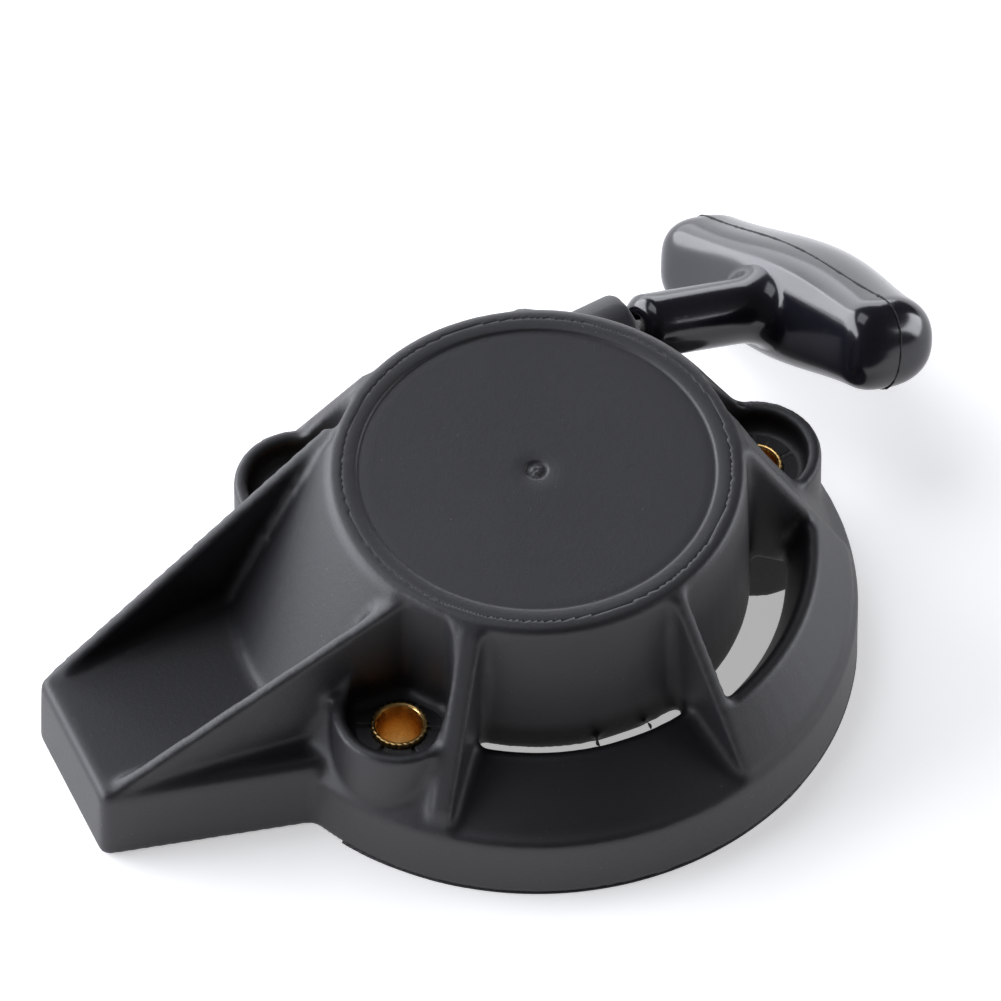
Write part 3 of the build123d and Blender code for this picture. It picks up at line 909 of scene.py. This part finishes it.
@dataclass
class StarterRope:
    """The braided rope: its turns on the reel, the run to the handle and the knots at both ends."""

    radius: float = 1.7
    height: float = 37.0
    tangent_radius: float = 33.1
    run: float = 42.8
    layers: tuple[float, ...] = (26.3, 29.35)
    low: float = 34.6
    high: float = 38.8
    turns_per_layer: float = 2.0

    def winding(self) -> bpy.types.Object:
        """Two layers of turns, the last leading out to the run."""
        path = []
        end = PULL_ANGLE + 90
        total = 360 * (self.turns_per_layer * len(self.layers) + 0.35)
        count = 620
        for i in range(count + 1):
            share = i / count
            angle = end + total * (1 - share)
            layer = share * len(self.layers)
            index = min(int(layer), len(self.layers) - 1)
            part = layer - index
            rise = part if index % 2 == 0 else 1 - part
            r = self.layers[index] + 0.16 * math.sin(9 * share * TAU)
            if index and part < 0.08:
                r = self.layers[0] + (self.layers[1] - self.layers[0]) * part / 0.08
            z = self.low + (self.high - self.low) * rise
            lead = max(0.0, (share - 0.93) / 0.07)
            lead = lead * lead * (3 - 2 * lead)
            r += (self.tangent_radius - r) * lead
            z += (self.height - z) * lead
            path.append(away(angle, r, z))
        return tube("rope_turns", path, braid(self.radius * MM), 18)

    def run_out(self) -> bpy.types.Object:
        """The straight run from the reel to the handle."""
        start = away(PULL_ANGLE + 90, self.tangent_radius, self.height)
        along = away(PULL_ANGLE, 1.0)
        count = 640
        path = [start + along * (self.run * i / count) for i in range(count + 1)]
        return tube("rope_to_handle", path, braid(self.radius * MM, lay=0.0006), 18)

    def knot(self, name: str, place: Matrix, size: float) -> bpy.types.Object:
        """An overhand knot drawn tight."""
        path = []
        for i in range(121):
            t = TAU * i / 121
            path.append(Vector((math.sin(t) + 2 * math.sin(2 * t), math.cos(t) - 2 * math.cos(2 * t),
                                -1.35 * math.sin(3 * t))) * (size / 3.0))
        piece = tube(name, [p * MM for p in path + path[:2]], braid(1.35 * MM), 16)
        piece.data.transform(place)
        return piece

    def build(self, grip: GripAssembly) -> None:
        """Makes the rope from the reel's knot to the handle's."""
        cord = BraidedRope().material()
        mount(self.winding(), Body.REEL, cord, "rope_fibre", "rope_winding")
        run = self.run_out()
        dress(run, cord)
        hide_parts("rope_run")
        start = away(PULL_ANGLE + 90, self.tangent_radius, self.height)
        along = away(PULL_ANGLE, 1.0)
        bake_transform(run)
        place = grip.place()
        inner = grip.seam + grip.recess_floor
        steps = 90
        way = [place @ Vector((0, 0, 0.6 + (inner + 1.6) * i / steps)) for i in range(steps + 1)]
        tail = tube("rope_in_handle", way, braid(self.radius * MM), 18)
        mount(tail, Body.HANDLE, cord, "rope_fibre", "rope_tail")
        back = place.to_quaternion().to_matrix().to_4x4()
        back.translation = place @ Vector((0, 0, inner + 3.6))
        mount(self.knot("handle_end_knot", back, 2.15), Body.HANDLE, cord, "rope_fibre", "handle_knot")
        reel = Matrix.Translation(away(140, 19.5, 36.6)) @ Matrix.Rotation(math.radians(50), 4, "Z")
        mount(self.knot("reel_end_knot", reel, 1.3), Body.REEL, cord, "rope_fibre", "reel_knot")


@dataclass
class Mechanism:
    """The turned, pressed and moulded pieces that keep their designed shape."""

    def finishes(self) -> dict[str, tuple[bpy.types.Material, float]]:
        """Each piece's material and edge rounding in metres."""
        plated = Metal("zinc_plate", (0.60, 0.61, 0.63), (0.40, 0.40, 0.42), 0.33).material()
        blued = Metal("blued_spring", (0.10, 0.12, 0.17), (0.05, 0.05, 0.07), 0.3).material()
        ground = Metal("ground_steel", (0.66, 0.66, 0.67), (0.42, 0.42, 0.43), 0.22, 2400.0).material()
        yellow = Metal("yellow_zinc", (0.72, 0.60, 0.34), (0.45, 0.36, 0.18), 0.3).material()
        sinter = Metal("sintered_steel", (0.38, 0.38, 0.40), (0.22, 0.22, 0.23), 0.42, 1900.0).material()
        black = Nylon("reel_nylon", (0.030, 0.031, 0.034), (0.016, 0.017, 0.019), 0.4).material()
        acetal = Nylon("guide_acetal", (0.70, 0.68, 0.61), (0.58, 0.56, 0.49), 0.38).material()
        hard = Nylon("eyelet_nylon", (0.05, 0.05, 0.055), (0.03, 0.03, 0.034), 0.32).material()
        return {"spring_case": (plated, 0.0), "recoil_spring": (blued, 0.0), "post_sleeve": (ground, 0.0002),
                "centre_screw": (yellow, 0.00012), "centre_washer": (plated, 0.00015),
                "rope_eyelet": (hard, 0.0), "reel": (black, 0.00025),
                "pawl_a": (sinter, 0.00025), "pawl_b": (sinter, 0.00025),
                "pawl_pin_a": (ground, 0.0002), "pawl_pin_b": (ground, 0.0002),
                "pawl_spring_a": (blued, 0.0), "pawl_spring_b": (blued, 0.0),
                "ratchet_guide": (acetal, 0.00025), "friction_spring": (ground, 0.0)}

    def build(self) -> None:
        """Dresses every piece and rounds its edges."""
        for name, (material, rounding) in self.finishes().items():
            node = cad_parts[name]
            dress(node, material)
            weld = node.modifiers.new("weld", "WELD")
            weld.merge_threshold = WELD_GAP
            if rounding:
                soft_edges(node, rounding)
            log.info("dressed %s", name)


def main() -> None:
    """Builds every sub-assembly and the studio."""
    logging.basicConfig(level=logging.INFO, format="%(message)s")
    Studio().set_up()
    HousingShell().build()
    MountBushes().build()
    grip = GripAssembly()
    grip.build()
    StarterRope().build(grip)
    Mechanism().build()
    bpy.context.view_layer.update()


if __name__ == "__main__":
    main()
